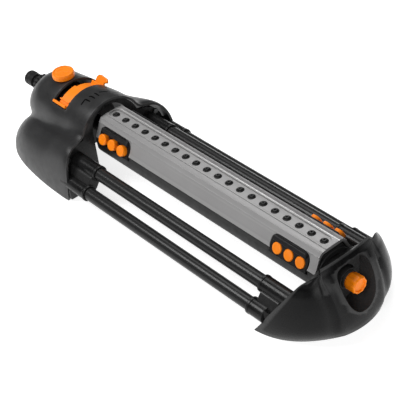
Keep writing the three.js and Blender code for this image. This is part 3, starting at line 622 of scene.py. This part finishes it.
def foot_curve(level):
    """A level of the foot's skin: round one wing, a groove before the crease, the face, and back."""
    z, ex, ey, vx, vy, fx = level
    chord = np.array((vx - ex, vy - ey))
    length = np.linalg.norm(chord)
    side = np.array((-chord[1], chord[0])) / length
    fender = FENDER_BOW * math.sin(math.pi * min(z / FENDER_TOP, 1) ** 0.8)
    fade = min(z / GROOVE_FADE, 1) * max(min((GROOVE_TOP - z) / GROOVE_FADE, 1), 0)
    pts = []
    for i in range(FOOT_STEPS + 1):
        t = i / FOOT_STEPS
        rise = 4 * length * t * (1 - t) * (WING_BOW * (1 - 0.25 * t) + fender * (0.5 + t))
        groove = GROOVE_DEPTH * math.exp(-((t - GROOVE_AT) / GROOVE_WIDTH) ** 2) * fade
        pts.append(np.array((ex, ey)) + chord * t + side * (rise - groove))
    for i in range(1, FACE_STEPS + 1):
        t = i / FACE_STEPS
        pts.append(np.array((vx + (fx - vx) * (1 - (1 - t) ** 2), vy * (1 - t))))
    near = [(p[0], p[1], z) for p in pts]
    return near + [(x, -y, h) for x, y, h in reversed(near[:-1])]


foot_rows = [foot_curve(level) for level in spline(FOOT, 4)]
foot = shell("foot_cover", foot_rows, (190, 0, 20), cap=False)


POCKET_Z = 43       # the height that the pocket's outline grows from


def pocket(grow):
    """The pocket's outline in (y, z), pushed outwards by grow."""
    corners = [(0, 18), (5, 18.7), (11, 23.5), (15.5, 31), (18.2, 42),
               (18.6, 51), (17.5, 57), (14, 61.2), (7, 62.6)]
    half = []
    for y, z in corners:
        length = math.hypot(y, z - POCKET_Z)
        half.append((y + grow * y / length, z + grow * (z - POCKET_Z) / length))
    outline = half + [(-y, z) for y, z in reversed(half[1:])]
    pts = spline(outline + [outline[0]], 6)[:-1]
    return [tuple(p) for p in relax(pts, 3, True)]


# The pocket's cup ends just inside the foot's skin, so it is cut to a solid that is a little smaller.
filled = surface("filled", [[(x * 0.9995, y * 0.998, z) for x, y, z in row] for row in foot_rows], True, True)
point_out(filled, (215, 0, 30))
cup = cut(prism("cup", pocket(2.0), 217, 250), filled, operation="INTERSECT")
cut(foot, cup, operation="UNION")
cut(foot, prism("hollow", pocket(0), 219.5, 252),
    lathe("bearing", [(213, 0), (213, 11.4), (224, 11.4), (224, 0)], (0, 0, AXIS_Z)))
bevel(foot, 0.7, 3, 45)
piece(foot, MAT_FOOT, "frame", ["foot_shell"], 32)

beam = [(38, 22), (46, 25), (48, 33), (42, 44), (26, 54), (6, 58)]
beam += [(-y, z) for y, z in reversed(beam)]
beam_obj = prism("foot_beam", beam, 209, 212.4)
cut(beam_obj, lathe("hole", [(205, 0), (205, 10.3), (215, 10.3), (215, 0)], (0, 0, AXIS_Z)))
bevel(beam_obj, 0.6, 2, 40)
bake(beam_obj)
parts = [beam_obj]
for key, (y, z) in TUBES.items():
    parts.append(socket("foot_socket_" + key, y, z, 167.5, 187 if "outer" in key else 209))
foot_bracket = join("foot_bracket", parts + webs(173, 196))
piece(foot_bracket, MAT_FOOT, "frame", ["foot_tube_bracket"], 35)

# ---- spray bar ----
# Outlines of the bar are (y, z) points from the swing axis.
COVER_HALF = [(22.8, 8.6), (21.2, 12.0), (20.75, 12.5), (16.1, 22.5), (16.25, 23.2),
              (15.7, 23.7), (13.6, 26.2), (13.5, 26.8), (12.8, 27.05), (12.3, 26.85),
              (8.7, 27.5), (8.2, 27.1), (7.8, 27.1), (7.5, 27.75)]
FACE_LENGTH = math.hypot(FACE_END[0] - RIDGE[0], FACE_END[1] - RIDGE[1])
DOWN = ((FACE_END[0] - RIDGE[0]) / FACE_LENGTH, (FACE_END[1] - RIDGE[1]) / FACE_LENGTH)
OUT = (-DOWN[1], DOWN[0])


def on_face(side, x, u, n):
    """A point on a sloping face: u down from the ridge, n out of the face."""
    return (x, side * (RIDGE[0] + u * DOWN[0] + n * OUT[0]), AXIS_Z + RIDGE[1] + u * DOWN[1] + n * OUT[1])


def face_block(name, side, outline, n0, n1):
    """An outline of (x, u) points swept straight through a sloping face."""
    return surface(name, [[on_face(side, x, u, n) for x, u in outline] for n in (n0, n1)], True, True)


def block_outline(x, grow):
    """A shut-off block's outline on its face: round at the top, square at the bottom."""
    half = BLOCK_LEN / 2 + grow
    top, low = 4.9 - grow, 23.8 + grow
    corners = [(x - half, low), (x - half, top), (x + half, top), (x + half, low)]
    upper = round_corners(corners, 8.8 + grow, 7, True)
    square = [(px, min(pu, low)) for px, pu in upper]
    return [(px, pu) for px, pu in square if pu < low - 4] + [(x + half, low), (x - half, low)]


def nozzle_x(i):
    return NOZZLE_X0 + i * NOZZLE_PITCH


LAST_NOZZLE_X = nozzle_x(NOZZLES - 1)


def both(half):
    """A half outline and its mirror image."""
    return list(half) + [(-y, z) for y, z in reversed(half)]


def raised(points):
    """From the swing axis to the ground."""
    return [(y, z + AXIS_Z) for y, z in points]


inner_half = [(20.9, 7.6), (20.4, 8.6), (14.2, 21.6), (12.0, 24.4)]
cover_outline = both(COVER_HALF) + list(reversed(both(inner_half)))
cover = prism("bar_cover_silver", raised(cover_outline), BAR_X0, BAR_X1)
channel_x0, channel_x1 = NOZZLE_X0 - 6.4, LAST_NOZZLE_X + 5.4
channel_corners = [(channel_x0, -6.4), (channel_x1, -6.4), (channel_x1, 6.4), (channel_x0, 6.4)]
channel = upright("channel", round_corners(channel_corners, 6.2, 10), AXIS_Z + 26.35, AXIS_Z + 31)
bevel(channel, 0.5, 2, 40)
bake(channel)
hole_profile = [(60, 0), (60, 3.95), (75, 3.95), (75, 0)]
holes = join("holes", [lathe("hole", hole_profile, (nozzle_x(i), 0, 0), (0, 0, 1), 28)
                       for i in range(NOZZLES)])
cut(cover, channel)
cut(cover, holes)
for name, side, x, out in BLOCKS:
    cut(cover, face_block("pocket", side, block_outline(x, 0.55), -8, 8))
bevel(cover, 0.45, 3, 28)
piece(cover, MAT_SILVER, "spray_bar", ["bar_cover"], 26)

# fine cross ribs along the far strip of the cover
RIB_COUNT, RIB_PITCH = 228, 1.25
rib_line = []
for i in range(RIB_COUNT):
    x = BAR_X0 + 8 + i * RIB_PITCH
    rib_line += [(x, 0.0), (x + 0.15, 0.28), (x + 0.65, 0.28), (x + 0.8, 0.0)]
rib_path = [(9.0, 27.35), (10.6, 27.1), (12.1, 26.8)]
rib_rows = [[(x, y, AXIS_Z + z + lift) for x, lift in rib_line] for y, z in rib_path]
bottom = [[(x, y, AXIS_Z + z - 0.3) for x, _ in rib_line] for y, z in (rib_path[-1], rib_path[0])]
ribs = surface("cover_ribs", rib_rows + bottom + [rib_rows[0]])
piece(ribs, MAT_SILVER, "spray_bar", angle=30)

trough_out = [(22.9, 8.3), (23.1, 4.0), (22.5, -5), (20.9, -8.6), (18.2, -11.4), (15.2, -15.1), (12.8, -17)]
trough_in = [(11.6, -14.8), (16.4, -10.1), (20.2, -4.3), (20.6, 8.2)]
trough_section = both(trough_out)
trough_section += [(-y, z) for y, z in reversed(trough_in)] + trough_in
trough = prism("bar_trough_black", raised(trough_section), BAR_X0 - 0.5, BAR_X1 - 1.7)
for name, side, x, out in BLOCKS:
    cut(trough, face_block("pocket", side, block_outline(x, 0.4), -8, 8))
bevel(trough, 0.5, 2, 30)
piece(trough, MAT_BLACK, "spray_bar", ["bar_trough"], 30)

# rubber strip with its nozzles: each a pad with a stepped tip and a shallow water hole
TIP_PROFILE = [(21.9, 0.3), (21.9, 3.6), (26.7, 3.6), (27.1, 3.2), (26.9, 2.7), (27.3, 2.3), (28.1, 1.9),
               (28.1, 1.0), (27.0, 0.8), (27.0, 0.01)]
tips = [lathe("tip", [(h + AXIS_Z, r) for h, r in TIP_PROFILE], (nozzle_x(i), 0, 0), (0, 0, 1), 24)
        for i in range(NOZZLES)]
strip_x0, strip_x1 = NOZZLE_X0 - 6, LAST_NOZZLE_X + 6
strip_outline = round_corners([(strip_x0, -5), (strip_x1, -5), (strip_x1, 5), (strip_x0, 5)], 4, 6)
strip = join("nozzle_strip_rubber", [upright("base", strip_outline, AXIS_Z + 21.9, AXIS_Z + 24.2)] + tips)
piece(strip, MAT_RUBBER, "spray_bar", ["nozzle_strip"], 35)

# end plates
END_HALF = [(20.3, 7.4), (19.8, -4.1), (16, -9.8), (11.3, -14.4)]


def end_plate(name, x0, x1, hole):
    section = both([(12.4, 21.4)] + END_HALF)
    obj = prism(name, raised(section), x0, x1)
    cut(obj, lathe("hole", [(x0 - 1, 0), (x0 - 1, hole), (x1 + 1, hole), (x1 + 1, 0)], (0, 0, AXIS_Z)))
    return bake(bevel(obj, 0.4, 2, 40))


def ring(name, x0, x1, outer, inner, fillet=0.5):
    """A ring round the swing axis."""
    corners = [(x0, inner), (x0, outer), (x1, outer), (x1, inner)]
    return lathe(name, round_corners(corners, fillet, 3, False) + [(x0, inner)], (0, 0, AXIS_Z), steps=72)


motor_end = end_plate("bar_end_motor", -94.5, -91, 7.9)
piece(motor_end, MAT_BLACK, "spray_bar", ["bar_end_plate_motor"])
foot_end = join("bar_end_foot", [end_plate("plate", 202.4, 206.3, 10.2),
                                 ring("outer_ring", 205.9, 208.6, 21.6, 16.8, fillet=1.0),
                                 ring("inner_ring", 205.9, 207.4, 14, 11)])
piece(foot_end, MAT_HOUSING, "spray_bar", ["bar_end_plate_foot"])

# shut-off blocks and plugs
PLUG_HEAD = [(-4, PLUG_R), (0.9, PLUG_R), (1.1, PLUG_R - 1.2), (0.8, 1.2), (0.8, 0.01)]
PLUG_PROFILE = [(-12, 0.01), (-12, 1.4), (-5, 1.4), (-5, PLUG_R)] + round_corners(PLUG_HEAD, 0.7, 4, False)
for name, side, x, out in BLOCKS:
    block = face_block("block_" + name, side, block_outline(x, 0), -6, 0.5)
    for k in (-1, 0, 1):
        base = on_face(side, x + k * PLUG_PITCH, PLUG_U, 0)
        bore_r = PLUG_R + 0.35
        bore_profile = [(-7, 0), (-7, bore_r), (4, bore_r), (4, 0)]
        bore = lathe("bore", bore_profile, base, (0, side * OUT[0], OUT[1]), 40)
        cut(block, bore)
    bevel(block, 0.7, 3, 40)
    bake(block)
    half = BLOCK_LEN / 2 - 2.6
    step = round_corners([(x + half, 10.4), (x - half, 10.4), (x - half, 5.8), (x + half, 5.8)], 4.2, 5)
    plateau = face_block("plateau", side, step, -1, 2.8)
    block = join("block_" + name, [block, bake(bevel(plateau, 0.8, 3, 40))])
    piece(block, MAT_BLOCK, "spray_bar", ["shutoff_block_" + name], 35)
    for i, k in enumerate((-1, 0, 1)):
        base = on_face(side, x + k * PLUG_PITCH, PLUG_U, out)
        plug = lathe(f"plug_{name}_{i + 1}", PLUG_PROFILE, base, (0, side * OUT[0], OUT[1]), 48)
        node = f"shutoff_plug_{name}_{i + 1}"
        piece(plug, MAT_ORANGE, node, [node])

# ---- end plug in the foot's pocket ----
def lobed(name, profile, centre, direction, lobes, depth, lo, hi, steps=128):
    """A turned body whose radius is scalloped between two heights."""
    obj = lathe(name, profile, centre, direction, steps)
    axis = Vector(direction).normalized()
    base = Vector(centre) * MM
    across = axis.orthogonal().normalized()
    other = axis.cross(across)
    for v in obj.data.vertices:
        rel = v.co - base
        h = rel.dot(axis) * 1000
        if lo <= h <= hi:
            flat = rel - axis * rel.dot(axis)
            a = math.atan2(flat.dot(other), flat.dot(across))
            grow = 1 - depth * (0.5 - 0.5 * math.cos(lobes * a)) ** 1.5
            v.co = base + axis * rel.dot(axis) + flat * grow
    return obj


cap_head = [(227.6, 7.6), (227.6, 8.3), (236.6, 8.3), (238.0, 7.6), (238.0, 6.4), (236.4, 5.9), (236.4, 0.01)]
cap = [(208, 0.01), (208, 7.4), (227.2, 7.4)] + round_corners(cap_head, 0.6, 4, False)
# The long side of the head gets extra points, so that its scallops bend.
dense = []
for a, b in zip(cap[:-1], cap[1:]):
    dense.append(a)
    if abs(b[0] - a[0]) > 3 and a[1] > 8:
        dense += [(a[0] + (b[0] - a[0]) * t, a[1] + (b[1] - a[1]) * t) for t in (0.1, 0.3, 0.5, 0.7, 0.9)]
dense.append(cap[-1])
end_plug = lobed("end_plug_orange", dense, (0, 0, AXIS_Z), (1, 0, 0), 9, 0.07, 227.3, 240)
piece(end_plug, MAT_ORANGE, "end_plug", ["end_plug"], 35)

# ---- flow control knob ----
ICON_R, ICON_Z0, ICON_Z1 = 6.2, 82.3, 83.0
knob_top = [(77.6, 11.2), (78.2, 11.5), (81.4, 11.5), (83.4, 10.7), (83.4, 9.4), (82.7, 8.8), (82.7, 0.01)]
knob_profile = [(77.5, 0.01), (77.5, 11.0)] + round_corners(knob_top, 1.1, 5, False)
knob = lobed("knob_body", knob_profile, (KNOB_X, 0, 0), (0, 0, 1), 24, 0.018, 77.8, 81.8)


def knob_arc(radius, start, end):
    angles = np.radians(np.linspace(start, end, 10))
    return [(KNOB_X + radius * math.cos(a), radius * math.sin(a)) for a in angles]


icons = []
for start in (20, 140, 260):
    arc = knob_arc(ICON_R, start, start + 80) + knob_arc(ICON_R - 1, start + 80, start)
    icons.append(bake(bevel(upright("icon", arc, ICON_Z0, ICON_Z1), 0.15, 2)))
arrow = [(KNOB_X + x, y) for x, y in ((3.2, 0), (0, 1.7), (-2.4, 1.2), (-2.4, -1.2), (0, -1.7))]
icons.append(bake(bevel(upright("icon", arrow, ICON_Z0, ICON_Z1), 0.2, 2)))
knob = join("flow_knob_orange", [knob] + icons)
piece(knob, MAT_ORANGE, "flow_control", ["flow_knob"], 35)

# ---- range rings ----
def ring_part(name, outer, inner, lo, hi, x0, x1, edge, steps=4):
    return bake(bevel(prism(name, arc_outline(outer, inner, lo, hi, steps), x0, x1), edge, 3, 50))


left_ring = [ring_part("band", RING_R, RING_R - 1.1, -47, -2, RING_X0, RING_X1, 0.3, 40),
             ring_part("tab", 38, RING_R - 0.6, -46.6, -42.4, RING_X0 - 5.6, RING_X1 - 0.4, 0.6),
             ring_part("rail", RAIL_R, RING_R - 0.6, -37.2, -34.4, RING_X0, RING_X1 - 0.4, 0.5)]
left_ring = join("range_ring_left_orange", left_ring)
piece(left_ring, MAT_ORANGE, "range_left", ["range_ring_left"], 35)
# The fin's outline is (radius, x) points.
fin_outline = [(31.6, RING_X0), (40.4, RING_X0), (42.8, RING_X0 + 1.6), (43.8, RING_X0 + 5),
               (43.2, RING_X1 - 1), (41.2, RING_X1 + 2), (38.9, RING_X1 + 2.4), (37.9, RING_X1 - 1),
               (31.6, RING_X1 - 1)]
fin_rows = [[hood_point(x, a, r) for r, x in fin_outline] for a in (40, 43.6)]
right_ring = [ring_part("band", RING_R - 1.7, RING_R - 2.7, -20, 48, RING_X0, RING_X1, 0.3, 40),
              bake(bevel(surface("fin", fin_rows, True, True), 0.9, 4, 40)),
              ring_part("rail", RAIL_R, RING_R - 2.2, 33, 35.6, RING_X0, RING_X1 - 0.4, 0.5)]
right_ring = join("range_ring_right_orange", right_ring)
piece(right_ring, MAT_ORANGE, "range_right", ["range_ring_right"], 35)

# ---- hose nipple, its seal and its nut ----
NIPPLE_R = 7.8
NIPPLE_CENTRE = (0, 0, NIPPLE_Z)
SEAL_X, SEAL_R = -237, 6.9
nipple_profile = [(-242.2, 5), (-242.2, 6.8), (-241.2, NIPPLE_R), (-238.4, NIPPLE_R), (-238.2, 6.2),
                  (-235.8, 6.2), (-235.6, NIPPLE_R), (-229.6, NIPPLE_R), (-228.6, 6.3), (-223.2, 6.3),
                  (-223, 8.6), (-221, 8.6), (-220.8, 7), (-191.2, 7), (-191.2, 5), (-242.2, 5)]
nipple = lathe("nipple_black", round_corners(nipple_profile, 0.35, 2, False), NIPPLE_CENTRE, steps=64)
piece(nipple, MAT_BLACK, "frame", ["inlet_nipple"])
seal_profile = [(SEAL_X + 1.3 * math.cos(a), SEAL_R + 1.1 * math.sin(a))
                for a in np.linspace(0, 2 * math.pi, 17)]
seal = lathe("nipple_seal_ring", seal_profile, NIPPLE_CENTRE, steps=64)
piece(seal, MAT_RUBBER, "frame", ["nipple_seal"])
nut_profile = [(-220.6, 7.4), (-220.6, 10.9), (-220.0, 11.7), (-217, 11.7), (-214.2, 11.7), (-213.5, 10.9),
               (-213.5, 7.4), (-220.6, 7.4)]
nut = lobed("nut_black", nut_profile, NIPPLE_CENTRE, (1, 0, 0), 18, 0.09, -220.3, -213.9, 216)
piece(nut, MAT_BLACK, "frame", ["nipple_nut"], 45)
